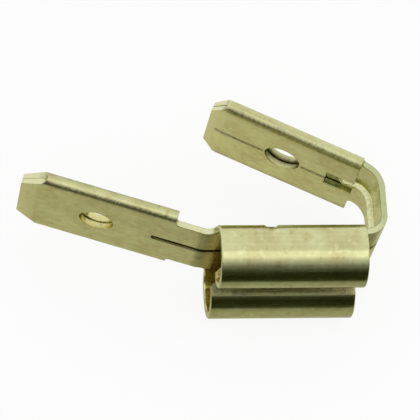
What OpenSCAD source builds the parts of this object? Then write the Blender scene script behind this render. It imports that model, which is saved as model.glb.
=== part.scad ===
// Spade terminal splitter: one strip of brass, stamped and folded.
// A rolled receptacle in the middle carries a doubled tab at each end of the strip.
// X runs along the receptacle, Y from its rolls to its flat back and Z across the strip.
// The origin is the middle of the receptacle floor, on the side where a mating tab lies.

/* [Sheet] */
// Thickness of the brass strip
sheet_t = 0.37; // [0.34:0.01:0.40]
// Clear gap between the two layers of a tab
layer_gap = 0.06; // [0.04:0.01:0.10]

/* [Receptacle] */
// Length of the receptacle along the strip
rec_l = 8.44; // [7.5:0.02:10]
// Height from the flat back to the crest of the rolls
rec_h = 3.48; // [3.4:0.02:3.7]
// Outer radius where the floor turns up into a roll
corner_r = 1.36; // [1.3:0.02:1.5]
// Angle of a roll past its crest, where the lip turns in
crest_a = 54; // [48:1:60]
// Outer radius where the lip turns in
curl_r = 0.42; // [0.4:0.01:0.5]
// Length of the slope that leads a mating tab under the lips
entry_l = 0.95; // [0.5:0.05:1.1]
// Clearance of a mating tab under the free edges
socket_clear = 0.02; // [0.01:0.01:0.05]
// Clearance on each side of a mating tab's flat
side_clear = 0.02; // [0.01:0.01:0.06]
// Length of the nick in the turn of the floor
nick_l = 0.82; // [0.5:0.02:1.2]
// Depth of the nick
nick_depth = 0.2; // [0.08:0.02:0.24]
// Distance of the nick from the middle of the receptacle
nick_x = 1.17; // [0:0.01:2.5]

/* [Tabs] */
// Width of a tab over its folded edges
tab_w = 6.3; // [6.2:0.05:6.4]
// Length of the doubled part of the left tab
left_tab_l = 9.1; // [8.0:0.05:10.5]
// Length of the doubled part of the right tab
right_tab_l = 9.25; // [8.0:0.05:10.5]
// Length of the corner cut at the left tip
left_cut_l = 1.65; // [0.8:0.05:1.8]
// Length of the corner cut at the right tip
right_cut_l = 0.95; // [0.8:0.05:1.8]
// Width of the corner cut at the tip
tip_cut_w = 1.22; // [0.8:0.02:1.6]
// Length of the pressed slope at the tip
lead_l = 1.0; // [0.6:0.05:1.5]
// Depth of the pressed slope on each face
lead_depth = 0.1; // [0.05:0.01:0.16]
// Distance of the hole from the root of a tab
hole_x = 4.45; // [4.2:0.05:4.8]
// Diameter of the hole in the lower layer
hole_d = 2.12; // [1.6:0.02:2.2]
// Diameter of the hole between the flaps
flap_hole_d = 2.3; // [2.25:0.05:2.6]
// Width of the seam between the flaps
seam_w = 0.12; // [0.04:0.02:0.16]
// Width of the window at the root of the flaps
window_w = 1.4; // [1.0:0.05:1.6]
// Length of the window at the root of the flaps
window_l = 1.7; // [1.6:0.05:2.2]

/* [Necks] */
// Width of the necks
neck_w = 5.0; // [4.6:0.05:5.3]
// How much the strip thins at each face in a bend
bend_thin = 0.005; // [0.004:0.001:0.01]
// Radius in the corner between a neck and the receptacle
neck_fillet = 0.25; // [0.1:0.05:0.25]
// Straight part of the left neck beside the receptacle
left_lead = 0.35; // [0.3:0.01:1.0]
// Inner radius of the left bend
left_r = 1.0; // [0.6:0.05:1.6]
// Angle of the left tab to the receptacle
left_angle = 18; // [8:1:30]
// Straight part of the left neck beside the tab
left_run = 1.62; // [0.8:0.01:2.0]
// Straight part of the right neck beside the receptacle
right_lead = 0.3; // [0.28:0.01:0.8]
// Inner radius of the first right bend
right_r1 = 0.86; // [0.6:0.01:1.2]
// Angle of the first right bend
right_angle_1 = 90; // [80:1:95]
// Straight part between the right bends
right_rise = 1.63; // [1.4:0.01:2.4]
// Inner radius of the second right bend
right_r2 = 1.48; // [1.3:0.01:2.0]
// Angle of the right tab to the receptacle
right_angle = 26; // [18:1:34]
// Straight part of the right neck beside the tab
right_run = 0.09; // [0.02:0.01:0.6]

/* [Rib] */
// Radius of the ridge on the back of the strip
rib_r = 0.34; // [0.3:0.01:0.36]
// Radius of the groove behind the ridge
groove_r = 0.26; // [0.2:0.01:0.28]
// Length of the rib inside the window of a tab
rib_in_tab = 1.2; // [0.5:0.05:1.3]
// Length of the rib inside the receptacle floor
rib_in_floor = 0.9; // [0.5:0.05:1.5]

/* [Hidden] */
tab_t = 2 * sheet_t + layer_gap;
fold_r = tab_t / 2;
fold_z = tab_w / 2 - fold_r;
crest_r = rec_h / 2;
floor_z = fold_z + side_clear;
rec_w = 2 * (floor_z + corner_r);
socket_h = tab_t + socket_clear;
curl_x = -crest_r - (crest_r - curl_r) * cos(crest_a);
curl_z = rec_w / 2 - crest_r - (crest_r - curl_r) * sin(crest_a);
lip_x = -sheet_t - socket_h;
right_angle_2 = 180 - right_angle - right_angle_1;
tip_z = tab_w / 2 - tip_cut_w;
nick_r = (nick_l * nick_l / 4 + nick_depth * nick_depth) / (2 * nick_depth);
nick_a = 22;
bend_lap = 2;
far = 20;
roll_fn = 96;
small_fn = 48;

// Part of a flat ring between two angles
module ring_part(outer, inner, from, to) {
    steps = ceil((to - from) / 60);
    fan = [for (k = [0 : steps]) let(a = from + (to - from) * k / steps) far * [cos(a), sin(a)]];
    intersection() {
        difference() {
            circle(r = outer, $fn = roll_fn);
            circle(r = inner, $fn = roll_fn);
        }
        polygon(concat([[0, 0]], fan));
    }
}

// Half of the receptacle's section: turn, wall, crest and the lip that turns in to the free edge
module roll_section() {
    translate([-corner_r, floor_z])
        ring_part(corner_r, corner_r - sheet_t, 0, 90);
    translate([-crest_r, rec_w / 2 - sheet_t])
        square([crest_r - corner_r, sheet_t]);
    translate([-crest_r, rec_w / 2 - crest_r])
        ring_part(crest_r, crest_r - sheet_t, 90, 180 + crest_a);
    translate([curl_x, curl_z])
        ring_part(curl_r - bend_thin, curl_r - sheet_t + bend_thin, 180 + crest_a - bend_lap, 270 + bend_lap);
    translate([curl_x, curl_z - curl_r])
        square([lip_x - curl_x, sheet_t]);
}

// Section of the receptacle: the floor with a roll on each side
module receptacle_section() {
    translate([-sheet_t, -floor_z])
        square([sheet_t, 2 * floor_z]);
    roll_section();
    mirror([0, 1])
        roll_section();
}

// Section of a neck: the flat strip, its ridge on the back and the groove in front
module neck_section(thin = 0) {
    difference() {
        union() {
            translate([thin, thin - neck_w / 2])
                square([sheet_t - 2 * thin, neck_w - 2 * thin]);
            translate([sheet_t, 0])
                circle(r = rib_r - thin, $fn = small_fn);
        }
        circle(r = groove_r + thin, $fn = small_fn);
    }
}

// Half of a tab's section: half the lower layer, the folded edge and one flap
module tab_half_section() {
    square([sheet_t, fold_z]);
    translate([fold_r, fold_z])
        intersection() {
            difference() {
                circle(r = fold_r, $fn = small_fn);
                circle(r = layer_gap / 2, $fn = small_fn);
            }
            translate([-fold_r, 0])
                square([2 * fold_r, 2 * fold_r]);
        }
    translate([sheet_t + layer_gap, seam_w / 2])
        square([sheet_t, fold_z - seam_w / 2]);
}

// Section of a tab
module tab_section() {
    tab_half_section();
    mirror([0, 1])
        tab_half_section();
}

// Draws a section along X for the given length
module along(length) {
    rotate([90, 0, 90])
        linear_extrude(length)
            children();
}

// A bent length of neck, turning to the back, with its ends inside the straight parts
module neck_bend(inner, angle) {
    translate([0, sheet_t + inner, 0])
        rotate([0, 0, -90 - bend_lap])
            rotate_extrude(angle = angle + 2 * bend_lap, $fn = roll_fn)
                translate([inner + sheet_t, 0])
                    mirror([1, 0])
                        neck_section(bend_thin);
}

// Places what follows a bend
module after_bend(inner, angle) {
    translate([0, sheet_t + inner, 0])
        rotate([0, 0, angle])
            translate([0, -sheet_t - inner, 0])
                children();
}

// Round bar with a round end, for the ridge and the groove
module bead(length, radius, height) {
    translate([0, height, 0]) {
        rotate([0, 90, 0])
            cylinder(h = length, r = radius, $fn = small_fn);
        translate([length, 0, 0])
            sphere(r = radius, $fn = small_fn);
    }
}

// Rounds the corner where a neck leaves the receptacle
module neck_corners() {
    for (side = [0, 1])
        mirror([0, 0, side])
            translate([0, sheet_t, neck_w / 2])
                rotate([90, 0, 0])
                    linear_extrude(sheet_t)
                        difference() {
                            square(neck_fillet);
                            translate([neck_fillet, neck_fillet])
                                circle(r = neck_fillet, $fn = small_fn);
                        }
}

// What is cut from the corner of a tab's tip
module tip_corner(length, cut_l) {
    translate([0, 2 * tab_t, 0])
        rotate([90, 0, 0])
            linear_extrude(3 * tab_t)
                polygon([
                    [length - cut_l, tab_w / 2],
                    [length, tip_z],
                    [length + 1, tip_z],
                    [length + 1, tab_w / 2 + 1],
                    [length - cut_l, tab_w / 2 + 1]
                ]);
}

// What is pressed from the two faces of a tab's tip
module tip_slopes(length) {
    translate([0, 0, -tab_w])
        linear_extrude(2 * tab_w) {
            polygon([
                [length - lead_l, 0],
                [length, lead_depth],
                [length + 1, lead_depth],
                [length + 1, -1],
                [length - lead_l, -1]
            ]);
            polygon([
                [length - lead_l, tab_t],
                [length, tab_t - lead_depth],
                [length + 1, tab_t - lead_depth],
                [length + 1, tab_t + 1],
                [length - lead_l, tab_t + 1]
            ]);
        }
}

// A tab: the lower layer with both edges folded onto its back
module tab(length, cut_l) {
    difference() {
        union() {
            difference() {
                along(length)
                    tab_section();
                translate([-1, sheet_t + layer_gap / 2, -window_w / 2])
                    cube([window_l + 1, tab_t, window_w]);
                translate([hole_x, sheet_t + layer_gap / 2, 0])
                    rotate([-90, 0, 0])
                        cylinder(h = tab_t, d = flap_hole_d, $fn = small_fn);
                tip_corner(length, cut_l);
                mirror([0, 0, 1])
                    tip_corner(length, cut_l);
                tip_slopes(length);
            }
            bead(rib_in_tab, rib_r, sheet_t);
        }
        translate([-1, 0, 0])
            bead(rib_in_tab + 1, groove_r, 0);
        translate([hole_x, -1, 0])
            rotate([-90, 0, 0])
                cylinder(h = tab_t + 2, d = hole_d, $fn = small_fn);
    }
}

// Left end of the strip: a short neck with one bend, then a tab
module left_arm() {
    along(left_lead)
        neck_section();
    neck_corners();
    translate([left_lead, 0, 0]) {
        neck_bend(left_r, left_angle);
        after_bend(left_r, left_angle) {
            along(left_run)
                neck_section();
            translate([left_run, 0, 0])
                tab(left_tab_l, left_cut_l);
        }
    }
}

// Right end of the strip: two bends that fold the tab back over the receptacle
module right_arm() {
    along(right_lead)
        neck_section();
    neck_corners();
    translate([right_lead, 0, 0]) {
        neck_bend(right_r1, right_angle_1);
        after_bend(right_r1, right_angle_1) {
            along(right_rise)
                neck_section();
            translate([right_rise, 0, 0]) {
                neck_bend(right_r2, right_angle_2);
                after_bend(right_r2, right_angle_2) {
                    along(right_run)
                        neck_section();
                    translate([right_run, 0, 0])
                        tab(right_tab_l, right_cut_l);
                }
            }
        }
    }
}

// Shallow nick across the turn of the floor
module nick() {
    translate([-nick_x, -corner_r, floor_z])
        rotate([nick_a, 0, 0])
            translate([0, corner_r + nick_r - nick_depth, -corner_r / 2])
                cylinder(h = corner_r, r = nick_r, $fn = small_fn);
}

// What is cut from the lips at one end, so that a mating tab finds its way under them
module entry() {
    translate([rec_l / 2, 0, -curl_z - curl_r])
        linear_extrude(2 * (curl_z + curl_r))
            polygon([
                [-entry_l - 0.3, lip_x + 0.3],
                [1, lip_x - entry_l - 1],
                [1, lip_x + 0.3]
            ]);
}

// The receptacle, with the ends of both ribs in its floor
module receptacle() {
    difference() {
        union() {
            translate([-rec_l / 2, 0, 0])
                along(rec_l)
                    receptacle_section();
            for (side = [0, 1])
                mirror([side, 0, 0])
                    translate([rec_l / 2, 0, 0])
                        mirror([1, 0, 0])
                            bead(rib_in_floor, rib_r, 0);
        }
        for (side = [0, 1])
            mirror([side, 0, 0])
                translate([rec_l / 2 + 1, 0, 0])
                    mirror([1, 0, 0])
                        bead(rib_in_floor + 1, groove_r, -sheet_t);
        for (side = [0, 1])
            mirror([side, 0, 0])
                entry();
        nick();
        mirror([0, 0, 1])
            nick();
    }
}

// The whole splitter is one folded strip
module splitter() {
    color("#c8b56a") {
        translate([0, sheet_t, 0])
            receptacle();
        translate([rec_l / 2, 0, 0])
            right_arm();
        mirror([1, 0, 0])
            translate([rec_l / 2, 0, 0])
                left_arm();
    }
}

splitter();
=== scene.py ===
"""Spade terminal splitter: one strip of brass, stamped, rolled and folded, on a pale studio floor.

The piece is worked out from the flat strip.  A place on the strip is (s, q, n) in millimetres: s runs
along it from the middle of the receptacle, q runs across it, and n goes through it from the front face
to the back face.  One function folds such places into the part's frame, which is also the source's:
X along the receptacle, Y from its rolls to its flat back, Z across the strip and up as the part lies.
"""

import math

import bpy
import numpy as np
from mathutils import Matrix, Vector
from mathutils.geometry import delaunay_2d_cdt


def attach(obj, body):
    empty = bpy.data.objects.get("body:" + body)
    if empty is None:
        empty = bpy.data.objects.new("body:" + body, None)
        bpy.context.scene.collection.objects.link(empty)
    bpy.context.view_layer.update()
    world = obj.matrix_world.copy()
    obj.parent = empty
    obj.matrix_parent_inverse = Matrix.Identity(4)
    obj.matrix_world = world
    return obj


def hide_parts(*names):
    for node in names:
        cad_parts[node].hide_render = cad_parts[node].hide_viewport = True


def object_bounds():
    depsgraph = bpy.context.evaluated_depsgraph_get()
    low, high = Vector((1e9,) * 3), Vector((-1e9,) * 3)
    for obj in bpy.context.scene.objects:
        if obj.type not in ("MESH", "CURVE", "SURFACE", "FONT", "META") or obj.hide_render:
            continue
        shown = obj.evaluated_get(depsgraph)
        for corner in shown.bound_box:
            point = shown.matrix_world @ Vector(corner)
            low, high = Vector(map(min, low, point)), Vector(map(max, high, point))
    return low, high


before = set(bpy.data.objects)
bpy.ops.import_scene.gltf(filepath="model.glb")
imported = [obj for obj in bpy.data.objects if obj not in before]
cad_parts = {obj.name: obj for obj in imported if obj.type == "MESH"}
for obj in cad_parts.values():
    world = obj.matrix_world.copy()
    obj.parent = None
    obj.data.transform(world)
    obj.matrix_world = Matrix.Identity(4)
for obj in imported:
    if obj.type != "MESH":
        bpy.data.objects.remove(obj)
cad_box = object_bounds()

MM = 0.001

# All sizes are in millimetres.  The strip and its receptacle have the source's own
SHEET = 0.37
LAYER_GAP = 0.06
REC_L = 8.44
REC_H = 3.48
CORNER_R = 1.36
CREST_A = math.radians(54)
CURL_R = 0.42
ENTRY_L = 0.95
SOCKET_CLEAR = 0.02
SIDE_CLEAR = 0.02
NICK_L = 0.82
NICK_DEPTH = 0.2
NICK_X = -1.17
NICK_TILT = math.radians(22)

# The doubled tabs
TAB_W = 6.3
LEFT_TAB_L = 9.1
RIGHT_TAB_L = 9.25
LEFT_CUT_L = 1.65
RIGHT_CUT_L = 0.95
TIP_CUT_W = 1.22
LEAD_L = 1.0
LEAD_DEPTH = 0.1
HOLE_X = 4.45
WINDOW_W = 1.4
WINDOW_L = 1.7

# Holes, seam and layers as the photograph shows them: a little smaller and closer than in the source
LEFT_HOLE_R = 1.01
RIGHT_HOLE_R = 0.97
LEFT_FLAP_HOLE_R = 0.88
RIGHT_FLAP_HOLE_R = 1.08
SEAM_W = 0.07
SEAM_AT_TIP = 0.03
LEFT_SQUEEZE = 0.028
RIGHT_SQUEEZE = 0.018
SQUEEZE_L = 0.1

# The necks: straight and bent stretches from the receptacle to each tab
NECK_W = 5.0
LEFT_LEAD = 0.35
LEFT_R = 1.0
LEFT_ANGLE = math.radians(18)
LEFT_RUN = 1.62
RIGHT_LEAD = 0.3
RIGHT_R1 = 0.86
RIGHT_ANGLE_1 = math.radians(90)
RIGHT_RISE = 1.63
RIGHT_R2 = 1.48
RIGHT_ANGLE_2 = math.radians(64)
RIGHT_RUN = 0.09

# Fillets at the ends of the necks as the photograph shows them, more of them than in the source
LEFT_FILLET = 0.55
RIGHT_FILLET = 0.25
ROOT_FILLET = 0.25

# The rib along the middle of each neck: a groove in front, and behind a ridge narrower than the source's
RIB_H = 0.34
RIB_HALF_W = 0.26
RIB_IN_TAB = 1.2
RIB_IN_FLOOR = 0.9
RIB_START_L = 0.45
RIDGE_END_L = 0.6
GROOVE_DEPTH = 0.46
GROOVE_IN_TAB = 0.27
GROOVE_FLAT = 0.08
GROOVE_HALF_W = 0.22
GROOVE_END_L = 0.2

# Roundness that shearing leaves at an edge, less in the left tab and more along the rolls
EDGE_R = 0.045
LEFT_TAB_EDGE_R = 0.025
LEFT_TAB_EDGE_L = 0.3
ROLL_EDGE_R = 0.1
ROLL_EDGE_L = 0.4

# How close together the mesh's points are, and the turn between them on rounds
EDGE_STEPS = 4
CORNER_STEP = 0.065
AFTER_CORNER = 1.4 * CORNER_STEP
REC_STEP = 0.25
REC_MARGIN = 0.12
NICK_STEP = 0.05
NICK_FIELD = 0.5
NECK_STEP = 0.1
SEAM_STEP = 0.2
TAB_STEP = 0.22
SLOPE_STEP = 0.12
SLOPE_CREASE = 0.04
FOLD_STEP = 0.045
RIB_STEP = 0.08
RIB_FLOOR_STEP = 0.07
RIB_CROSS_STEP = 0.032
RIB_FIELD = 0.6
RIB_FIELD_IN_FLOOR = 1.0
RIB_FIELD_IN_TAB = 1.6
ROLL_TURN = math.radians(6)
FOLD_TURN = math.radians(12)
HOLE_POINTS = 64
FLAP_ARC_POINTS = 41
FILLET_POINTS = 9
CLOSING_POINTS = 12
KEEP_CLEAR = 0.03
HAIR = 1e-6
MITRE_LIMIT = 0.25

# How far past an edge painted shade and highlight still show, and the lengths over which painted light,
# shade and roughness start and fade
RIM = 0.06
HOLE_RIM = 0.08
WIDE_RIM = 0.1
SEAM_CLEAR = 0.2
WINDOW_BARE_L = 0.6
WINDOW_FADE_L = 0.4
WINDOW_RIDGE_L = 0.5
BEND_START_L = 0.3
BEND_L = 1.1
BEND_FADE_L = 0.5
SOCKET_FADE_L = 0.5
SLOPE_FADE_L = 0.08
TIP_END_L = 0.45
TIP_END_FADE_L = 0.1
NECK_HIGHLIGHT_L = 2.0
NECK_HIGHLIGHT_FADE_L = 1.4

# Shares of painted shade, a dark brown, in hidden and sunk places, and of a darker band along the necks'
# back edges
SEAM_SHADE = 0.55
HOLE_WALL_SHADE = 0.85
LEFT_HOLE_WALL_SHADE = 0.17
WINDOW_SHADE = 0.65
WINDOW_SIDE_SHADE = 0.3
BURR_FILM = 0.7
CREASE_SHADE = 0.38
LIP_SHADE = 0.3

# Where the crease of a fold is, as a share of its half turn, and how wide, and how a fold's band fades
CREASE_AT = 0.86
CREASE_W = 0.27
FOLD_FADE = 0.2

# From which share of the sheet's thickness a hole's wall takes painted shade, and of its height the ridge
# a painted highlight
WALL_FROM = 0.6
WALL_FADE = 0.3
RIDGE_FROM = 0.2
RIDGE_FADE = 0.4
BED_EDGE = 12

# Shares of the sheared look, of roughness, of painted highlight and painted fill light, and of grain
HOLE_SHEARED = 0.1
TAB_SHEARED = 0.4
END_SHEARED = 0.3
FOLD_ROUGH = 0.45
BEND_ROUGH = 1.6
FULL_HIGHLIGHT = 2.0
RIGHT_NECK_HIGHLIGHT = 0.4
NECK_HIGHLIGHT = 1.2
TIP_HIGHLIGHT = 0.8
HOLE_FILL_LIGHT = 0.6
FOLD_GRAIN = 0.4

# The set: a wide floor, and a glowing card and a glowing sheet that only reflections see, painting dark
# and grey reflections
FLOOR_HALF = 600
CARD_HALF = 60
CARD_Y = -13
CARD_TOP = 30
UNDER_L = 29
UNDER_LIFT = 0.01

TAB_T = 2 * SHEET + LAYER_GAP
FOLD_Z = TAB_W / 2 - TAB_T / 2
FOLD_MID = (SHEET + LAYER_GAP) / 2
FLOOR_Z = FOLD_Z + SIDE_CLEAR
CREST_R = REC_H / 2
CORNER_MID = CORNER_R - SHEET / 2
CREST_MID = CREST_R - SHEET / 2
CURL_MID = CURL_R - SHEET / 2
CURL_L = CURL_MID * (math.pi / 2 - CREST_A)
LIP_L = CREST_R + (CREST_R - CURL_R) * math.cos(CREST_A) - SHEET - TAB_T - SOCKET_CLEAR
TIP_Z = TAB_W / 2 - TIP_CUT_W
HALF_REC = REC_L / 2

# Each line below is a list of stretches: length along the middle of the sheet, and curvature
ROLL_LINE = [
    (FLOOR_Z, 0.0),
    (CORNER_MID * math.pi / 2, 1 / CORNER_MID),
    (CREST_R - CORNER_R, 0.0),
    (CREST_MID * (math.pi / 2 + CREST_A), 1 / CREST_MID),
    (CURL_L, 1 / CURL_MID),
    (LIP_L, 0.0),
]
TAB_LINE = [
    (FOLD_Z, 0.0),
    (FOLD_MID * math.pi, 1 / FOLD_MID),
    (FOLD_Z, 0.0),
]
LEFT_LINE = [
    (HALF_REC + LEFT_LEAD, 0.0),
    ((LEFT_R + SHEET / 2) * LEFT_ANGLE, 1 / (LEFT_R + SHEET / 2)),
    (LEFT_RUN + LEFT_TAB_L, 0.0),
]
RIGHT_LINE = [
    (HALF_REC + RIGHT_LEAD, 0.0),
    ((RIGHT_R1 + SHEET / 2) * RIGHT_ANGLE_1, 1 / (RIGHT_R1 + SHEET / 2)),
    (RIGHT_RISE, 0.0),
    ((RIGHT_R2 + SHEET / 2) * RIGHT_ANGLE_2, 1 / (RIGHT_R2 + SHEET / 2)),
    (RIGHT_RUN + RIGHT_TAB_L, 0.0),
]
ROLL_Q = sum(length for length, _ in ROLL_LINE)
SEAM_Q = sum(length for length, _ in TAB_LINE)
FLAP_Q = SEAM_Q - SEAM_W / 2
LEFT_TIP = sum(length for length, _ in LEFT_LINE)
RIGHT_TIP = sum(length for length, _ in RIGHT_LINE)
LEFT_ROOT = LEFT_TIP - LEFT_TAB_L
RIGHT_ROOT = RIGHT_TIP - RIGHT_TAB_L


def bent_line(distance, stretches):
    """Where a line of straight and round stretches has come to after each distance, and its heading.

    Over a stretch the heading grows by the curvature times the distance run in it.  The point moves by
    the integral of (cos heading, sin heading): a straight step, or the chord of an arc."""
    along = np.zeros_like(distance)
    aside = np.zeros_like(distance)
    heading = np.zeros_like(distance)
    start = 0.0
    for length, curvature in stretches:
        run = np.clip(distance - start, 0.0, length)
        turned = heading + curvature * run
        if curvature:
            along += (np.sin(turned) - np.sin(heading)) / curvature
            aside += (np.cos(heading) - np.cos(turned)) / curvature
        else:
            along += run * np.cos(heading)
            aside += run * np.sin(heading)
        heading = turned
        start += length
    return along, aside, heading


def arm_of(s):
    """How far along its arm each s is, and the distances at which that arm's tab starts and ends."""
    root = np.where(s > 0, RIGHT_ROOT, LEFT_ROOT)
    tip = np.where(s > 0, RIGHT_TIP, LEFT_TIP)
    return np.abs(s), root, tip


def fold(s, q, n):
    """Folds places of the flat strip into the part's frame.

    The strip's middle line runs along the arm that s is on, with its normal N pointing to the back.
    Across it the sheet follows the roll's line towards the front, or in a tab the flap's line towards
    the back.  A point is the middle line's point, plus N times the height of that cross line, plus Z
    times its reach, plus the sheet's own normal times (n - half the thickness)."""
    size, root, _ = arm_of(s)
    right = s > 0
    side = np.where(right, 1.0, -1.0)
    on_right = bent_line(size, RIGHT_LINE)
    on_left = bent_line(size, LEFT_LINE)
    x, y, heading = (np.where(right, a, b) for a, b in zip(on_right, on_left))
    in_tab = size > root - HAIR
    flap = bent_line(np.abs(q), TAB_LINE)
    roll = bent_line(np.abs(q), ROLL_LINE)
    reach = np.where(in_tab, flap[0], roll[0])
    height = np.where(in_tab, flap[1], -roll[1])
    turn = np.where(in_tab, flap[2], -roll[2])
    off = n - SHEET / 2
    height = height + off * np.cos(turn)
    reach = reach - off * np.sin(turn)
    return np.stack([
        side * x - side * np.sin(heading) * height,
        SHEET / 2 + y + np.cos(heading) * height,
        np.where(q < 0, -reach, reach),
    ], axis=-1)


def smooth(x):
    """Goes from 0 to 1 as x does, level at both ends: 3x^2 - 2x^3."""
    x = np.clip(x, 0.0, 1.0)
    return x * x * (3 - 2 * x)


def rib_reach(s, end_l):
    """How much of the rib is left along an arm: it rises from the floor and dies away in the tab."""
    size, root, _ = arm_of(s)
    start = smooth((size - HALF_REC + RIB_IN_FLOOR) / RIB_START_L)
    return start * smooth((root + RIB_IN_TAB - size) / end_l)


def groove(s, q):
    """Depth of the rib's groove as a share: 1 on its flat bed, 0 outside its steep sides and its ends."""
    side = smooth((np.abs(q) - GROOVE_FLAT) / (GROOVE_HALF_W - GROOVE_FLAT))
    return (1 - side) * rib_reach(s, GROOVE_END_L)


def nick_depth(s, q):
    """How deep the nick is pressed into the back face.

    The nick is a round bar pressed across the turn between floor and roll.  Its bed, divided by the
    cosine of the angle from the bar's own direction, is the radius that is left of the turn there."""
    bar_r = (NICK_L ** 2 / 4 + NICK_DEPTH ** 2) / (2 * NICK_DEPTH)
    bed = CORNER_R + bar_r - NICK_DEPTH
    bed = bed - np.sqrt(np.clip(bar_r ** 2 - (s - NICK_X) ** 2, 0.0, None))
    angle = np.clip((np.abs(q) - FLOOR_Z) / CORNER_MID, 0.0, math.pi / 2) - NICK_TILT
    pressed = np.clip(CORNER_R - bed / np.cos(angle), 0.0, None)
    near = (np.abs(s - NICK_X) < NICK_L) & (np.abs(q) > FLOOR_Z) & (np.abs(s) < HALF_REC)
    return np.where(near, pressed, 0.0)


def faces_of_strip(s, q):
    """Heights n of the front and back faces at each place of the strip.

    Flat sheet is 0 and SHEET, and in a tab the back swells a little so that the layers nearly touch.
    The rib lifts the back face in a ridge, 1 - (q/w)^2, and sinks the front face in a groove with a flat
    bed and steep sides, less deep where the ridge has died away.  The pressed slope of a tip lowers the
    front face in a straight ramp, and the nick lowers the back face."""
    size, root, tip = arm_of(s)
    reach = rib_reach(s, RIDGE_END_L)
    ridge = np.clip(1 - (q / RIB_HALF_W) ** 2, 0.0, 1.0) * reach
    ramp = LEAD_DEPTH * np.clip((size - (tip - LEAD_L)) / LEAD_L, 0.0, 1.0)
    front = groove(s, q) * (GROOVE_IN_TAB + (GROOVE_DEPTH - GROOVE_IN_TAB) * reach) + ramp
    squeeze = np.where(s > 0, RIGHT_SQUEEZE, LEFT_SQUEEZE) * smooth((size - root) / SQUEEZE_L)
    back = SHEET + RIB_H * ridge + squeeze - nick_depth(s, q)
    return front, back


def tip_edge(q, tip, cut_l):
    """s of a tab's tip at each q: the corners are cut where the folded strip reaches past TIP_Z."""
    reach = bent_line(np.abs(q), TAB_LINE)[0]
    past = np.clip((reach - TIP_Z) / TIP_CUT_W, 0.0, None)
    return tip - cut_l * past


def steps(start, end, size):
    """Values from start to end about one size apart, with one close to each end.

    That one is further from the end than an edge is set back, so that edges don't cross at corners."""
    count = max(int(math.ceil(abs(end - start) / size)), 1)
    values = np.linspace(start, end, count + 1)
    lead = math.copysign(min(CORNER_STEP, abs(end - start) / 4), end - start)
    from_end = np.minimum(np.abs(values - start), np.abs(end - values))
    inner = values[from_end > AFTER_CORNER]
    return np.concatenate([[start, start + lead], inner, [end - lead, end]])


def cross_values(line, flat_size, round_step):
    """Values of q along a cross line: flat_size apart on flats, round_step of turn apart on rounds."""
    values = [np.zeros(1)]
    start = 0.0
    for length, curvature in line:
        size = round_step / curvature if curvature else flat_size
        count = max(int(math.ceil(length / size)), 1)
        values.append(start + np.linspace(0.0, length, count + 1)[1:])
        start += length
    return np.concatenate(values)


TAB_ACROSS = cross_values(TAB_LINE, TAB_STEP, FOLD_TURN)
ROLL_ACROSS = cross_values(ROLL_LINE, REC_STEP, ROLL_TURN)
RIB_ACROSS = np.arange(0.0, RIB_FIELD, RIB_CROSS_STEP)


def arm_outline(root, tip, cut_l, hole_r, fillet):
    """Half of the strip's outline, q > 0, from the middle of the receptacle's free edge to the tip.

    Free edge with its cut corner, end of the receptacle, fillet, neck, fillet, end of the flap, window,
    seam with half of the flaps' hole in it, and the tip from the flap round the fold to the middle."""
    share = np.linspace(0.0, 1.0, FILLET_POINTS)
    entry_s = HALF_REC - ENTRY_L
    entry_q = ROLL_Q - ENTRY_L
    corner_s = HALF_REC + fillet
    corner_q = NECK_W / 2 + fillet
    corner_turn = -math.pi + share * math.pi / 2
    end = ROLL_ACROSS[(ROLL_ACROSS > corner_q + CORNER_STEP) & (ROLL_ACROSS < entry_q - CORNER_STEP)]
    root_s = root - ROOT_FILLET
    root_q = NECK_W / 2 + ROOT_FILLET
    root_turn = corner_turn + math.pi / 2
    window_s = root + WINDOW_L
    window_q = SEAM_Q - WINDOW_W / 2
    hole_s = root + HOLE_X
    chord = math.sqrt(hole_r ** 2 - (SEAM_W / 2) ** 2)
    bow = math.asin(SEAM_W / 2 / hole_r)
    arc = np.linspace(math.pi + bow, 2 * math.pi - bow, FLAP_ARC_POINTS)
    slope_s = tip - LEAD_L
    tip_q = SEAM_Q - SEAM_AT_TIP / 2
    closing = np.linspace(0.0, 1.0, CLOSING_POINTS)
    round_tip = TAB_ACROSS[TAB_ACROSS < tip_q - AFTER_CORNER]
    round_tip = np.concatenate([round_tip, [TIP_Z, SEAM_Q - TIP_Z, tip_q - CORNER_STEP, tip_q]])
    round_tip = np.unique(round_tip)[::-1]
    pieces = [
        (steps(0.0, entry_s, REC_STEP), ROLL_Q),
        (entry_s + ENTRY_L * share, ROLL_Q - ENTRY_L * share),
        (HALF_REC, end[::-1]),
        (corner_s + fillet * np.cos(corner_turn), corner_q + fillet * np.sin(corner_turn)),
        (steps(corner_s, root_s, NECK_STEP), NECK_W / 2),
        (root_s + ROOT_FILLET * np.cos(root_turn), root_q + ROOT_FILLET * np.sin(root_turn)),
        (root, steps(root_q, window_q, FOLD_STEP)),
        (steps(root, window_s, SEAM_STEP), window_q),
        (window_s, steps(window_q, FLAP_Q, SEAM_STEP)),
        (steps(window_s, hole_s - chord, SEAM_STEP), FLAP_Q),
        (hole_s + hole_r * np.cos(arc), SEAM_Q + hole_r * np.sin(arc)),
        (steps(hole_s + chord, slope_s, SEAM_STEP), FLAP_Q),
        (slope_s + LEAD_L * closing, FLAP_Q + (tip_q - FLAP_Q) * smooth(2 * closing)),
        (tip_edge(round_tip, tip, cut_l), round_tip),
    ]
    rows = [np.stack(np.broadcast_arrays(s, q), axis=-1).reshape(-1, 2) for s, q in pieces]
    return np.concatenate(rows)


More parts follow.
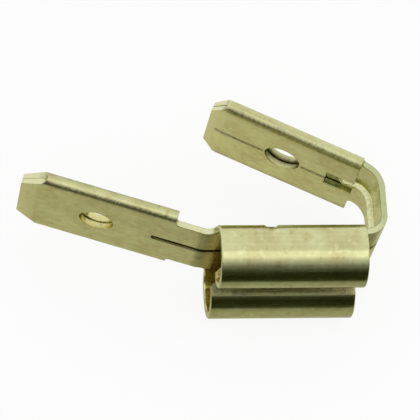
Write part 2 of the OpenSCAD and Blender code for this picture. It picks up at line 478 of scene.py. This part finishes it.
def strip_outline():
    """The whole outline, clockwise: right arm, its mirror in q run backwards, the left arm likewise.

    Points that repeat the one before them are left out."""
    right = arm_outline(RIGHT_ROOT, RIGHT_TIP, RIGHT_CUT_L, RIGHT_FLAP_HOLE_R, RIGHT_FILLET)
    left = arm_outline(LEFT_ROOT, LEFT_TIP, LEFT_CUT_L, LEFT_FLAP_HOLE_R, LEFT_FILLET)
    flip = np.array([1.0, -1.0])
    loop = np.concatenate([right, right[::-1] * flip, -left, left[::-1] * -flip])
    apart = np.linalg.norm(loop - np.roll(loop, 1, axis=0), axis=1)
    return loop[apart > HAIR]


def hole_outline(centre, radius):
    """A round hole in the middle of the strip, run the other way round from the outline."""
    angle = np.linspace(0.0, 2 * math.pi, HOLE_POINTS + 1)[:-1]
    return np.stack([centre + radius * np.cos(angle), radius * np.sin(angle)], axis=-1)


def outward(loop):
    """Step from an edge set back by one unit out to the true edge, at each point of a loop.

    It is the mitre of the two edge normals that meet there: their sum over one plus their product."""
    ahead = np.roll(loop, -1, axis=0) - loop
    ahead /= np.linalg.norm(ahead, axis=1, keepdims=True)
    behind = np.roll(ahead, 1, axis=0)
    normal_a = np.stack([-ahead[:, 1], ahead[:, 0]], axis=-1)
    normal_b = np.stack([-behind[:, 1], behind[:, 0]], axis=-1)
    both = 1 + np.sum(normal_a * normal_b, axis=1, keepdims=True)
    return (normal_a + normal_b) / np.maximum(both, MITRE_LIMIT)


def edge_radius(loop):
    """How round the edge is at each point of a loop.

    It is less in the left tab, and grows smoothly from a neck's corner along a roll."""
    s, q = loop.T
    in_rec = np.abs(s) < HALF_REC + HAIR
    on_roll = smooth((np.abs(q) - NECK_W / 2 - LEFT_FILLET) / ROLL_EDGE_L) * in_rec
    in_left_tab = smooth((-s - LEFT_ROOT) / LEFT_TAB_EDGE_L - 1)
    radius = EDGE_R + (ROLL_EDGE_R - EDGE_R) * on_roll + (LEFT_TAB_EDGE_R - EDGE_R) * in_left_tab
    return radius[:, None]


def inside(points, loop):
    """Which points a loop holds: a ray along q crosses it an odd number of times."""
    a = loop
    b = np.roll(loop, -1, axis=0)
    s, q = points[:, :1], points[:, 1:]
    spans = (a[:, 0] > s) != (b[:, 0] > s)
    rise = np.where(b[:, 0] == a[:, 0], 1.0, b[:, 0] - a[:, 0])
    at = a[:, 1] + (s - a[:, 0]) / rise * (b[:, 1] - a[:, 1])
    return np.sum(spans & (q < at), axis=1) % 2 == 1


def gap_to(points, loop):
    """Distance from each point to the nearest edge of a loop."""
    edge = np.roll(loop, -1, axis=0) - loop
    away = points[:, None, :] - loop
    share = np.sum(away * edge, axis=2) / np.sum(edge * edge, axis=1)
    rest = away - np.clip(share, 0.0, 1.0)[..., None] * edge
    return np.sqrt(np.min(np.sum(rest * rest, axis=2), axis=1))


def in_batches(function, points, loop, size=1500):
    """Runs a test of points against a loop a batch at a time, to keep the arrays small."""
    return np.concatenate([function(points[i:i + size], loop) for i in range(0, len(points), size)])


def in_strip(points, loops):
    """Which points lie in the first loop, the outline, and outside the others, the holes."""
    held = in_batches(inside, points, loops[0])
    for loop in loops[1:]:
        held &= ~in_batches(inside, points, loop)
    return held


def lattice(s_values, q_values):
    """All pairs of the s values with the q values and their mirror."""
    both = np.unique(np.concatenate([-q_values, q_values]))
    s, q = np.meshgrid(s_values, both, indexing="ij")
    return np.stack([s.ravel(), q.ravel()], axis=-1)


def lattice_points():
    """Places inside the strip that carry its mesh, closer together where it is bent or pressed.

    Along the rib a finer lattice takes the place of the common one."""
    nick = np.arange(NICK_X - NICK_FIELD, NICK_X + NICK_FIELD, NICK_STEP)
    along_rec = np.arange(REC_MARGIN - HALF_REC, HALF_REC - REC_MARGIN, REC_STEP)
    rib_start = HALF_REC - RIB_FIELD_IN_FLOOR
    rib_in_rec = np.arange(rib_start, HALF_REC - KEEP_CLEAR, RIB_FLOOR_STEP)
    neck_q = np.concatenate([RIB_ACROSS, np.arange(RIB_FIELD + NECK_STEP, NECK_W / 2, REC_STEP)])
    common = [lattice(np.union1d(along_rec, nick), ROLL_ACROSS)]
    fine = []
    for sign, root, tip in ((1, RIGHT_ROOT, RIGHT_TIP), (-1, LEFT_ROOT, LEFT_TIP)):
        rib_end = root + RIB_FIELD_IN_TAB
        slope_s = tip - LEAD_L
        fine.append(lattice(sign * rib_in_rec, RIB_ACROSS))
        fine.append(lattice(sign * np.arange(HALF_REC, root + KEEP_CLEAR, RIB_STEP), neck_q))
        fine.append(lattice(sign * np.arange(root + RIB_STEP, rib_end, RIB_STEP), RIB_ACROSS))
        along_tab = np.concatenate([
            np.arange(root + 2 * KEEP_CLEAR, slope_s - 2 * SLOPE_CREASE, TAB_STEP),
            [slope_s - SLOPE_CREASE, slope_s, slope_s + SLOPE_CREASE],
            np.arange(slope_s + SLOPE_STEP + KEEP_CLEAR, tip, SLOPE_STEP),
        ])
        common.append(lattice(sign * along_tab, TAB_ACROSS))
    common = np.concatenate(common)
    s, q = common.T
    size, root, _ = arm_of(s)
    in_field = (size > rib_start - KEEP_CLEAR) & (size < root + RIB_FIELD_IN_TAB + KEEP_CLEAR)
    return np.concatenate(fine + [common[~(in_field & (np.abs(q) < RIB_FIELD))]])


def flat_strip():
    """The flat strip's triangles, with every edge set back by its radius for the rounding.

    Returns the places, the triangles, and for each edge loop the numbers of its points, their radius and
    the step out to the true edge."""
    loops = [
        strip_outline(),
        hole_outline(RIGHT_ROOT + HOLE_X, RIGHT_HOLE_R),
        hole_outline(-LEFT_ROOT - HOLE_X, LEFT_HOLE_R),
    ]
    out = [outward(loop) for loop in loops]
    radius = [edge_radius(loop) for loop in loops]
    set_back = [loop - r * step for loop, r, step in zip(loops, radius, out)]
    held = lattice_points()
    keep = in_strip(held, set_back)
    for loop in set_back:
        keep &= in_batches(gap_to, held, loop) > KEEP_CLEAR
    held = held[keep]
    _, first = np.unique(np.round(held / KEEP_CLEAR), axis=0, return_index=True)
    held = held[np.sort(first)]
    points = np.concatenate(set_back + [held])
    starts = np.cumsum([0] + [len(loop) for loop in set_back])
    numbers = [np.arange(len(loop)) + start for loop, start in zip(set_back, starts)]
    edges = np.concatenate([np.stack([k, np.roll(k, -1)], axis=-1) for k in numbers])
    found = delaunay_2d_cdt(points.tolist(), edges.tolist(), [], 0, HAIR / 10)
    places = np.array(found[0], float)
    triangles = np.array(found[2])
    came_from = np.array(found[3]).ravel()
    now = np.empty(len(points), int)
    now[came_from] = np.arange(len(came_from))
    solid = in_strip(places[triangles].mean(axis=1), set_back)
    return places, triangles[solid], [(now[k], r, step) for k, r, step in zip(numbers, radius, out)]


def folded_strip():
    """The closed surface of the folded strip: front face, back face and the rounded, sheared edges.

    An edge is drawn in rows from the front to the back.  Row by row the angle goes from 0 to 90 degrees
    and back: the point moves out by the radius times its sine, and away from the face by the radius times
    one minus its cosine.  Returns the flat places, how much each is on a cut edge, how much it is on the
    groove's bed, and the triangles, which point outwards."""
    places, triangles, loops = flat_strip()
    front, back = faces_of_strip(*places.T)
    count = len(places)
    strip = [np.column_stack([places, front]), np.column_stack([places, back])]
    cut = [np.zeros(count), np.zeros(count)]
    bed = [groove(*places.T), np.zeros(count)]
    faces = [triangles, triangles[:, ::-1] + count]
    total = 2 * count
    angle = np.linspace(0.0, math.pi / 2, EDGE_STEPS + 1)[1:]
    for numbers, radius, step in loops:
        inward = np.outer(1 - np.cos(angle), radius)
        heights = np.concatenate([front[numbers] + inward, back[numbers] - inward[::-1]])
        rows = [numbers]
        for a, n in zip(np.concatenate([angle, angle[::-1]]), heights):
            strip.append(np.column_stack([places[numbers] + radius * math.sin(a) * step, n]))
            cut.append(np.full(len(n), math.sin(a) ** 2))
            bed.append(np.zeros(len(n)))
            rows.append(np.arange(len(n)) + total)
            total += len(n)
        rows.append(numbers + count)
        for low, high in zip(rows[:-1], rows[1:]):
            next_low, next_high = np.roll(low, -1), np.roll(high, -1)
            faces.append(np.stack([low, next_low, next_high], axis=-1))
            faces.append(np.stack([low, next_high, high], axis=-1))
    return [np.concatenate(rows) for rows in (strip, cut, bed, faces)]


def in_hole(s, q):
    """Which places of a tab are at its hole, in either layer, or within a rim of it."""
    size, root, _ = arm_of(s)
    across = np.minimum(np.abs(q), SEAM_Q - np.abs(q))
    away = np.hypot(size - root - HOLE_X, across)
    return (size > root) & (away < RIGHT_FLAP_HOLE_R + HOLE_RIM)


def on_lips(s, q):
    """Which places are on the lips that the rolls end in."""
    return (np.abs(s) < HALF_REC + WIDE_RIM) & (np.abs(q) > ROLL_Q - LIP_L - CURL_L)


def fold_turn(q):
    """How far the sheet has turned in a tab's folded edge, as a share of its half turn."""
    return (np.abs(q) - FOLD_Z) / (math.pi * FOLD_MID)


def fold_band(q):
    """1 over a tab's folded edge, fading out at both ends of the turn."""
    turned = fold_turn(q)
    return smooth(turned / FOLD_FADE + 0.5) * smooth((1 - turned) / FOLD_FADE + 0.5)


def shade_and_burr_share(s, q, n, cut, bed):
    """Where the colour is darkened to a brown: the largest of these shares.

    Painted shade over all of the groove's bed, and less of it on the seam's sides, on the holes' walls
    next to the other layer, on the sheet and the flaps' edges in the window, in the crease where a flap
    leaves its fold, and on the lips in the socket; and a darker band along the necks' back edges."""
    size, root, tip = arm_of(s)
    in_tab = size > root
    from_seam = SEAM_Q - np.abs(q)
    holes = in_hole(s, q)
    seam = in_tab & ~holes & (from_seam < SEAM_W / 2 + RIM) & (size < tip - LEAD_L / 2)
    next_layer = smooth((n / SHEET - WALL_FROM) / WALL_FADE) * (cut > 0) * holes
    in_window = smooth((size - root - WINDOW_BARE_L) / WINDOW_FADE_L) * (size < root + WINDOW_L + RIM)
    ridge = np.clip(1 - np.abs(q) / RIB_HALF_W, 0.0, 1.0)
    ridge = ridge * smooth((root + RIB_IN_TAB - size) / WINDOW_RIDGE_L)
    window = in_window * (np.abs(q) < WINDOW_W / 2) * (n > SHEET - RIM) * (1 - ridge)
    sides = in_window * (from_seam < WINDOW_W / 2 + RIM)
    burr = 4 * cut * (1 - cut) * (n > SHEET / 2) * (size > HALF_REC) * ~in_tab
    crease = np.exp(-((fold_turn(q) - CREASE_AT) / CREASE_W) ** 2) * in_tab
    return np.max([
        smooth(BED_EDGE * bed),
        SEAM_SHADE * seam,
        np.where(s > 0, HOLE_WALL_SHADE, LEFT_HOLE_WALL_SHADE) * next_layer,
        WINDOW_SHADE * window,
        WINDOW_SIDE_SHADE * sides,
        BURR_FILM * burr,
        CREASE_SHADE * crease,
        LIP_SHADE * on_lips(s, q),
    ], axis=0)


def wear_and_shade_of_strip(s, q, n, cut, bed):
    """How the sheet was worked at each place, and where shade is painted on it, as shares: sheared,
    shaded and folded.

    Sheared is the cut's own share where no painted shade or dark band covers it, less in the tabs and at
    the receptacle's edges.  Shaded is the share of painted shade and of the darker band along the necks'
    back edges.  Folded is a band over the folded edges of a tab, and the necks' first bends and the lips
    more so."""
    size, root, _ = arm_of(s)
    in_tab = size > root
    at_ends = size < HALF_REC + RIM
    shade_and_burr = shade_and_burr_share(s, q, n, cut, bed)
    places = [in_hole(s, q), in_tab, at_ends]
    sheared = cut * (1 - shade_and_burr) * np.select(places, [HOLE_SHEARED, TAB_SHEARED, END_SHEARED], 1.0)
    bend = smooth((size - HALF_REC) / BEND_START_L + 1)
    bend = bend * smooth((HALF_REC + BEND_L - size) / BEND_FADE_L)
    bend = bend * (1 - cut) * (np.abs(q) < NECK_W / 2 + WIDE_RIM)
    folded = np.max([FOLD_ROUGH * fold_band(q) * in_tab, BEND_ROUGH * bend, on_lips(s, q)], axis=0)
    return np.stack([sheared, shade_and_burr, folded], axis=-1)


def painted_light_and_grain_of_strip(s, q, n, cut):
    """How light is painted on the sheet at each place, and its grain, as shares: painted highlight,
    painted fill light and grained.

    Painted highlight is a lighter colour on the pressed slope at a tip, more so close to its end, and
    twice as much on the rib's crest, the edges of the receptacle, of the left neck and of the tips'
    corners, and less on the right neck's edges, more so near the receptacle.
    Painted fill light is a lighter yellow on the inside of the socket, the front face of the receptacle
    that fades out along the necks, and less so on the wall of the left tab's hole.
    Grained is where the press has drawn the skin: the rib's ridge, and less so the folded edges."""
    size, root, tip = arm_of(s)
    in_tab = size > root
    slope = smooth((size - tip + LEAD_L) / SLOPE_FADE_L)
    tip_end = smooth((size - tip + TIP_END_L) / TIP_END_FADE_L)
    on_ridge = (n - SHEET) / RIB_H * (np.abs(q) < RIB_HALF_W)
    brightened = NECK_HIGHLIGHT * smooth((HALF_REC + NECK_HIGHLIGHT_L - size) / NECK_HIGHLIGHT_FADE_L)
    necks = ~in_tab * np.where(s < 0, FULL_HIGHLIGHT, RIGHT_NECK_HIGHLIGHT + brightened)
    at_ends = size < HALF_REC + RIM
    corners = (size > tip - LEFT_CUT_L - RIM) & (SEAM_Q - np.abs(q) > SEAM_CLEAR)
    painted_highlight = np.max([
        (slope + TIP_HIGHLIGHT * tip_end) * in_tab,
        FULL_HIGHLIGHT * smooth((on_ridge - RIDGE_FROM) / RIDGE_FADE),
        cut * necks,
        FULL_HIGHLIGHT * cut * (at_ends | corners),
    ], axis=0)
    socket = (n < SHEET / 2) * (1 - cut) * smooth((HALF_REC - size) / SOCKET_FADE_L + 1)
    painted_fill_light = np.maximum(socket, HOLE_FILL_LIGHT * cut * in_hole(s, q) * (s < 0))
    grained = np.maximum(smooth(2 * on_ridge), FOLD_GRAIN * in_tab * fold_band(q))
    return np.stack([painted_highlight, painted_fill_light, grained], axis=-1)


def point_normals(points, faces):
    """Each point's normal: the sum of its faces' cross products, so that large faces count for more."""
    a, b, c = (points[faces[:, k]] for k in range(3))
    cross = np.cross(b - a, c - a)
    total = np.zeros_like(points)
    for k in range(3):
        np.add.at(total, faces[:, k], cross)
    return total / np.maximum(np.linalg.norm(total, axis=1, keepdims=True), 1e-20)


def make_splitter(material):
    """Puts the folded strip into a mesh, with its flat place, its wear, and where shade and light are
    painted on it as attributes.
    """
    strip, cut, bed, faces = folded_strip()
    points = fold(*strip.T) * MM
    mesh = bpy.data.meshes.new("folded_strip")
    mesh.from_pydata(points.tolist(), [], faces.tolist())
    wear_and_shade = wear_and_shade_of_strip(*strip.T, cut, bed)
    painted_light_and_grain = painted_light_and_grain_of_strip(*strip.T, cut)
    for name, values in (("strip_mm", strip), ("wear_and_shade", wear_and_shade), ("painted_light_and_grain", painted_light_and_grain)):
        held = mesh.attributes.new(name, "FLOAT_VECTOR", "POINT")
        held.data.foreach_set("vector", values.astype(np.float32).ravel())
    mesh.materials.append(material)
    mesh.polygons.foreach_set("use_smooth", np.ones(len(faces), bool))
    mesh.normals_split_custom_set_from_vertices(point_normals(points, faces).tolist())
    piece = bpy.data.objects.new("folded_strip", mesh)
    bpy.context.scene.collection.objects.link(piece)
    return piece


def linear(code):
    """An sRGB hex colour as linear red, green, blue and full alpha."""
    part = np.array([int(code[k:k + 2], 16) for k in (1, 3, 5)]) / 255
    part = np.where(part <= 0.04045, part / 12.92, ((part + 0.055) / 1.055) ** 2.4)
    return (*part.tolist(), 1.0)


def add(tree, kind, values=None, links=None, **settings):
    """Adds one node: its settings, the values of its sockets, and the outputs that feed its sockets."""
    made = tree.nodes.new(kind)
    for name, value in settings.items():
        setattr(made, name, value)
    for socket, value in (values or {}).items():
        made.inputs[socket].default_value = value
    for socket, source in (links or {}).items():
        tree.links.new(source, made.inputs[socket])
    return made


def empty_tree(owner):
    """Gives a material or a world an empty node tree."""
    owner.use_nodes = True
    owner.node_tree.nodes.clear()
    return owner.node_tree


def rolled_brass():
    """Cold rolled cartridge brass, stamped bright.

    Rolling leaves fine streaks along the strip that pull the reflections out into soft bands.  Handling
    leaves faint brown clouds.  Shearing leaves the edges greener and rougher, and folding roughens the
    turned skin.  A lighter colour paints highlights on the tips' slopes, the rib's crest and edges, a
    lighter yellow paints light inside the socket, and a dark brown paints shade in the groove, the seam
    and other hidden places."""
    material = bpy.data.materials.new("cold_rolled_brass")
    tree = empty_tree(material)
    strip = add(tree, "ShaderNodeAttribute", attribute_name="strip_mm").outputs["Vector"]
    wear_and_shade = add(tree, "ShaderNodeAttribute", attribute_name="wear_and_shade").outputs["Vector"]
    painted_light_and_grain = add(tree, "ShaderNodeAttribute", attribute_name="painted_light_and_grain").outputs["Vector"]
    sheared, shade_and_burr, folded = add(tree, "ShaderNodeSeparateXYZ", None, {0: wear_and_shade}).outputs
    painted_highlight, painted_fill_light, grained = add(tree, "ShaderNodeSeparateXYZ", None, {0: painted_light_and_grain}).outputs
    broken = {"Detail": 3.0, "Roughness": 0.6}
    # Roll streaks are some 0.02 mm wide: drawn about 0.15 mm wide here, and 8 mm long, so that they show
    along = add(tree, "ShaderNodeMapping", {"Scale": (0.12, 6.5, 1.0)}, {"Vector": strip})
    streak = add(tree, "ShaderNodeTexNoise", {"Scale": 1.0, **broken},
                 {"Vector": along.outputs["Vector"]}).outputs["Fac"]
    # Clouds of tarnish about 2 mm across
    cloud = add(tree, "ShaderNodeTexNoise", {"Scale": 0.6, **broken}, {"Vector": strip})
    dull = add(tree, "ShaderNodeMapRange", {"From Min": 0.36, "From Max": 0.66},
               {"Value": cloud.outputs["Fac"]})
    tone = add(tree, "ShaderNodeMix", {6: linear("#cfd29d"), 7: linear("#c0bc88")},
               {0: dull.outputs["Result"]}, data_type="RGBA")
    # Inside the socket, and less on the left hole's wall, a lighter yellow is painted as light that
    # reaches there
    yellow = add(tree, "ShaderNodeMix", {7: linear("#f0e39b")},
                 {0: painted_fill_light, 6: tone.outputs[2]}, data_type="RGBA")
    lines = add(tree, "ShaderNodeMapRange",
                {"From Min": 0.3, "From Max": 0.7, "To Min": 0.92, "To Max": 1.06}, {"Value": streak})
    lined = add(tree, "ShaderNodeVectorMath", None,
                {0: yellow.outputs[2], 1: lines.outputs["Result"]}, operation="MULTIPLY")
    edged = add(tree, "ShaderNodeMix", {7: linear("#b0b889")},
                {0: sheared, 6: lined.outputs["Vector"]}, data_type="RGBA")
    # One noise of some 0.3 mm gives bright scuffs where it is low and brown specks where it is high
    spot = add(tree, "ShaderNodeTexNoise", {"Scale": 2.4, **broken}, {"Vector": strip}).outputs["Fac"]
    scuffs = add(tree, "ShaderNodeMapRange", {"From Min": 0.45, "From Max": 0.33, "To Max": 1.1},
                 {"Value": spot})
    # The painted highlights and the bright scuffs lighten the colour towards pale brass
    brightened = add(tree, "ShaderNodeMath", None,
                 {0: painted_highlight, 1: scuffs.outputs["Result"]}, operation="MAXIMUM")
    share = add(tree, "ShaderNodeMath", {1: 0.45}, {0: brightened.outputs[0]}, operation="MULTIPLY")
    bright = add(tree, "ShaderNodeMix", {7: linear("#dcdcb0")},
                 {0: share.outputs[0], 6: edged.outputs[2]}, data_type="RGBA")
    specks = add(tree, "ShaderNodeMapRange", {"From Min": 0.6, "From Max": 0.74, "To Max": 0.6},
                 {"Value": spot})
    stained = add(tree, "ShaderNodeMix", {7: linear("#a39a5c")},
                  {0: specks.outputs["Result"], 6: bright.outputs[2]}, data_type="RGBA")
    # Where it is thin, the painted shade and the necks' darker edge band break into patches of the
    # specks' size: their share is raised to a power of them
    patches = add(tree, "ShaderNodeMapRange",
                  {"From Min": 0.35, "From Max": 0.65, "To Min": 0.5, "To Max": 1.9}, {"Value": spot})
    patchy_dark = add(tree, "ShaderNodeMath", None,
               {0: shade_and_burr, 1: patches.outputs["Result"]}, operation="POWER")
    # The dark brown of the painted shade and of the darker band along the necks' back edges
    darkened = add(tree, "ShaderNodeMix", {7: linear("#4a431c")},
                 {0: patchy_dark.outputs[0], 6: stained.outputs[2]}, data_type="RGBA")
    # Streaks, folding and shearing each add to the roughness
    rough = add(tree, "ShaderNodeMapRange",
                {"From Min": 0.3, "From Max": 0.7, "To Min": 0.17, "To Max": 0.28}, {"Value": streak})
    rougher = add(tree, "ShaderNodeMath", {1: 0.3},
                  {0: folded, 2: rough.outputs["Result"]}, operation="MULTIPLY_ADD")
    roughest = add(tree, "ShaderNodeMath", {1: 0.15},
                   {0: sheared, 2: rougher.outputs[0]}, operation="MULTIPLY_ADD")
    # The streaks' relief, and a broader unevenness of the pressed sheet about 1.5 mm across
    relief = add(tree, "ShaderNodeBump", {"Strength": 0.06, "Distance": 0.01 * MM}, {"Height": streak})
    wave = add(tree, "ShaderNodeTexNoise", {"Scale": 0.7, "Detail": 1.0}, {"Vector": strip})
    uneven = add(tree, "ShaderNodeBump", {"Strength": 0.5, "Distance": 0.03 * MM},
                 {"Height": wave.outputs["Fac"], "Normal": relief.outputs["Normal"]})
    # Folding draws the skin into a grain of some 0.15 mm
    grain = add(tree, "ShaderNodeTexNoise", {"Scale": 6.5, "Detail": 2.0}, {"Vector": strip})
    drawn = add(tree, "ShaderNodeMath", {1: 0.8}, {0: folded, 2: grained},
                operation="MULTIPLY_ADD", use_clamp=True)
    skin = add(tree, "ShaderNodeBump", {"Distance": 0.04 * MM},
               {"Strength": drawn.outputs[0], "Height": grain.outputs["Fac"],
                "Normal": uneven.outputs["Normal"]})
    surface = add(tree, "ShaderNodeBsdfPrincipled", {"Metallic": 1.0},
                  {"Base Color": darkened.outputs[2], "Roughness": roughest.outputs[0],
                   "Normal": skin.outputs["Normal"]})
    add(tree, "ShaderNodeOutputMaterial", None, {"Surface": surface.outputs["BSDF"]})
    return material


def seen_directly(tree):
    """1 on the rays of the lens and of what metal and glass show, and 0 on those that carry light."""
    rays = add(tree, "ShaderNodeLightPath").outputs
    seen = add(tree, "ShaderNodeMath", None,
               {0: rays["Is Camera Ray"], 1: rays["Is Glossy Ray"]}, operation="MAXIMUM")
    seen = add(tree, "ShaderNodeMath", None,
               {0: seen.outputs[0], 1: rays["Is Transmission Ray"]}, operation="MAXIMUM")
    return seen.outputs[0]


def pale_paper():
    """White studio paper: matt, and white to the lens and to the metal, with part of its shading."""
    material = bpy.data.materials.new("white_paper")
    tree = empty_tree(material)
    share = add(tree, "ShaderNodeMath", {1: 0.88}, {0: seen_directly(tree)}, operation="MULTIPLY")
    matt = add(tree, "ShaderNodeBsdfDiffuse", {"Color": linear("#f4f4f4")})
    white = add(tree, "ShaderNodeEmission", {"Color": linear("#ffffff"), "Strength": 1.0})
    mixed = add(tree, "ShaderNodeMixShader", None,
                {0: share.outputs[0], 1: matt.outputs[0], 2: white.outputs[0]})
    add(tree, "ShaderNodeOutputMaterial", None, {"Surface": mixed.outputs[0]})
    return material


def glowing_reflection_sheet(name, axis, start, end, codes):
    """A glowing sheet of the set that only the metal sees, which paints a reflection: an even glow that
    fades along an axis.

    It goes smoothly from the first colour to the second between start and end, in millimetres."""
    material = bpy.data.materials.new(name)
    tree = empty_tree(material)
    place = add(tree, "ShaderNodeTexCoord")
    apart = add(tree, "ShaderNodeSeparateXYZ", None, {0: place.outputs["Object"]})
    share = add(tree, "ShaderNodeMapRange", {"From Min": start * MM, "From Max": end * MM},
                {"Value": apart.outputs[axis]}, interpolation_type="SMOOTHSTEP")
    shade = add(tree, "ShaderNodeMix", {6: linear(codes[0]), 7: linear(codes[1])},
                {0: share.outputs["Result"]}, data_type="RGBA")
    glow = add(tree, "ShaderNodeEmission", {"Strength": 1.0}, {"Color": shade.outputs[2]})
    add(tree, "ShaderNodeOutputMaterial", None, {"Surface": glow.outputs[0]})
    return material


def make_sheet(name, corner, along, across, material):
    """A flat sheet of the set: a corner and the two sides that meet there, in millimetres."""
    corner, along, across = np.array([corner, along, across], float) * MM
    corners = [corner, corner + along, corner + along + across, corner + across]
    mesh = bpy.data.meshes.new(name)
    mesh.from_pydata(np.array(corners).tolist(), [], [(0, 1, 2, 3)])
    mesh.materials.append(material)
    sheet = bpy.data.objects.new(name, mesh)
    bpy.context.scene.collection.objects.link(sheet)
    return sheet


def put_in_place(name, data, across, up, back, place):
    """Puts a lamp or camera at a place in millimetres, with its own X, Y and Z across, up and back."""
    turn = np.eye(4)
    turn[:3] = np.column_stack([across, up, back, np.array(place) * MM])
    holder = bpy.data.objects.new(name, data)
    holder.matrix_world = Matrix(turn.tolist())
    bpy.context.scene.collection.objects.link(holder)
    return holder


def make_lamp(name, place, size, power):
    """A soft oblong lamp that faces the origin, place and size in millimetres."""
    lamp = bpy.data.lights.new(name, "AREA")
    lamp.shape = "RECTANGLE"
    lamp.size = size[0] * MM
    lamp.size_y = size[1] * MM
    lamp.energy = power
    back = np.array(place) / np.linalg.norm(place)
    across = np.cross((0.0, 1.0, 0.0), back)
    across /= np.linalg.norm(across)
    put_in_place(name, lamp, across, np.cross(back, across), back, place)


def make_world():
    """Even white surroundings: full white to the lens and to the metal, softer as a light."""
    world = bpy.data.worlds.new("white_room")
    bpy.context.scene.world = world
    tree = empty_tree(world)
    soft = add(tree, "ShaderNodeBackground", {"Color": linear("#ffffff"), "Strength": 0.9})
    white = add(tree, "ShaderNodeBackground", {"Color": linear("#ffffff"), "Strength": 1.0})
    mixed = add(tree, "ShaderNodeMixShader", None,
                {0: seen_directly(tree), 1: soft.outputs[0], 2: white.outputs[0]})
    add(tree, "ShaderNodeOutputWorld", None, {"Surface": mixed.outputs[0]})


def make_camera():
    """A long lens high in front of the part and a little to its left, fitted to the photograph's edges.

    The three directions are the picture's right, its down and the way the lens looks, and pixels is the
    lens's length in pixels of a picture that is 420 wide."""
    right = (0.99023, -0.05728, 0.12714)
    down = (-0.00358, -0.92187, -0.38748)
    ahead = (0.1394, 0.38324, -0.91307)
    place = (-31.2, -71.86, 177.34)
    pixels = 3366.2
    lens = bpy.data.cameras.new("camera")
    lens.sensor_width = 36.0
    lens.sensor_fit = "HORIZONTAL"
    lens.lens = pixels / 420 * lens.sensor_width
    lens.clip_start = 0.005
    camera = put_in_place("camera", lens, right, -np.array(down), -np.array(ahead), place)
    bpy.context.scene.camera = camera


bpy.context.scene.view_settings.view_transform = "Standard"
make_camera()
make_world()

splitter = make_splitter(rolled_brass())
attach(splitter, "root")
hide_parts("splitter")

floor_z = cad_box[0][2] / MM
make_sheet("floor", (-FLOOR_HALF, -FLOOR_HALF, floor_z), (2 * FLOOR_HALF, 0, 0), (0, 2 * FLOOR_HALF, 0),
           pale_paper())
# A card in front that glows dark below and fades to white upwards, seen only in reflections: it paints
# the dark bands in the metal, with a soft edge
card = make_sheet("dark_reflection_card", (-CARD_HALF, CARD_Y, floor_z), (2 * CARD_HALF, 0, 0),
                  (0, 0, CARD_TOP - floor_z),
                  glowing_reflection_sheet("dark_reflection_card", "Z", 4, 27, ("#2a2b14", "#fafafa")))
# A glowing sheet under the part, seen only in reflections, paints the floor's reflection in the metal,
# with painted shade that grows greyer towards the card in front
sheet = make_sheet("floor_reflection_sheet", (-CARD_HALF, CARD_Y, floor_z + UNDER_LIFT), (2 * CARD_HALF, 0, 0),
                   (0, UNDER_L, 0),
                   glowing_reflection_sheet("floor_reflection", "Y", -14, 10, ("#9d9f8c", "#dad4b4")))
for item in (card, sheet):
    item.visible_camera = False
    item.visible_diffuse = False
    item.visible_shadow = False

make_lamp("overhead", (0, -45, 215), (200, 110), 0.03)
